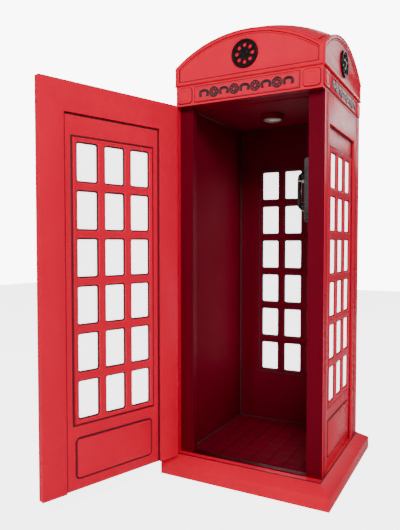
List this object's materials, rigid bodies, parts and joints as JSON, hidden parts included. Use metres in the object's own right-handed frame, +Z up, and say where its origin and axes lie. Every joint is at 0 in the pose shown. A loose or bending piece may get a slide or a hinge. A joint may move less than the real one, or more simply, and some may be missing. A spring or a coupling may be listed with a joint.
{
  "type": "telephone booth",
  "caption": "Square cast-iron telephone kiosk with a hinged glazed door standing open, small-paned glazed walls, arched pediments, shallow dome and a wall telephone.",
  "frame": {"origin": "centre of the square plinth, on the ground", "axes": "+Z up; the doorway faces -Y; the door hangs on the -X corner and stands open at rest"},
  "size_m": [1.3196, 1.9143, 2.82],
  "materials": {
    "red_paint": "gloss enamel, bright red",
    "lining_paint": "satin enamel, dark maroon",
    "milk_glass": "milk-white glass",
    "floor_tile": "dark red quarry tile",
    "black_plastic": "moulded black",
    "bright_steel": "worn bright steel",
    "lamp_glass": "opal lamp glass",
    "sign_panel": "red opal sign panel"
  },
  "bodies": {
    "kiosk": {"ceiling_panel": "lining_paint", "cord_gland": "black_plastic", "dial_ring": "black_plastic", "fascia_back": "red_paint", "fascia_blocks": "red_paint", "fascia_front": "red_paint", "fascia_left": "red_paint", "fascia_right": "red_paint", "floor_slab": "floor_tile", "hinges_fixed": "red_paint", "lamp_housing": "lining_paint", "lamp_lens": "lamp_glass", "lining_left": "lining_paint", "lower_panel_back": "red_paint", "lower_panel_left": "red_paint", "lower_panel_right": "red_paint", "panes_back": "milk_glass", "panes_left": "milk_glass", "panes_right": "milk_glass", "pediment_back": "red_paint", "pediment_front": "red_paint", "pediment_left": "red_paint", "pediment_right": "red_paint", "phone_backboard": "lining_paint", "phone_case": "black_plastic", "phone_faceplate": "black_plastic", "plinth_base": "red_paint", "post_back_left": "red_paint", "post_back_right": "red_paint", "post_front_left": "red_paint", "post_front_right": "red_paint", "roof_dome": "red_paint", "sash_back": "red_paint", "sash_left": "red_paint", "sash_right": "red_paint", "sign_back": "sign_panel", "sign_front": "sign_panel", "sign_left": "sign_panel", "sign_right": "sign_panel", "stiles_back": "red_paint", "stiles_left": "red_paint", "stiles_right": "red_paint", "threshold_sill": "bright_steel", "upper_panel_back": "red_paint", "upper_panel_left": "red_paint", "upper_panel_right": "red_paint", "vent_rosettes": "red_paint"},
    "door": {"door_bottom_panel": "red_paint", "door_panes": "milk_glass", "door_pull": "red_paint", "door_sash": "red_paint", "door_stile_hinge": "red_paint", "door_stile_latch": "red_paint", "door_top_rail": "red_paint", "hinges_moving": "red_paint"},
    "dial": {"dial_wheel": "bright_steel"},
    "handset": {"handset": "black_plastic"},
    "switch_hook": {"switch_hook": "bright_steel"},
    "return_button": {"return_button": "bright_steel"},
    "return_flap": {"return_flap": "bright_steel"}
  },
  "joints": [
    {"name": "door_hinge", "type": "hinge", "parent": "kiosk", "child": "door", "pos_m": [-0.475, -0.475, 1.2], "axis": [0, 0, -1], "range_deg": [-108.4, 12]},
    {"name": "handset_lift", "type": "slide", "parent": "kiosk", "child": "handset", "axis": [-1, 0, 0], "range_m": [0, 0.15]},
    {"name": "dial_turn", "type": "hinge", "parent": "kiosk", "child": "dial", "pos_m": [0.25, 0.015, 1.82], "axis": [1, 0, 0], "range_deg": [0, 330], "stiffness_Nm_per_rad": 0.02},
    {"name": "hook_press", "type": "slide", "parent": "kiosk", "child": "switch_hook", "axis": [0, 0, -1], "range_m": [0, 0.006], "stiffness_N_per_m": 900, "springref_m": -0.004},
    {"name": "button_press", "type": "slide", "parent": "kiosk", "child": "return_button", "axis": [1, 0, 0], "range_m": [0, 0.005], "stiffness_N_per_m": 500, "springref_m": -0.002},
    {"name": "flap_push", "type": "hinge", "parent": "kiosk", "child": "return_flap", "pos_m": [0.254, 0.015, 1.6975], "axis": [0, -1, 0], "range_deg": [0, 55]}
  ]
}
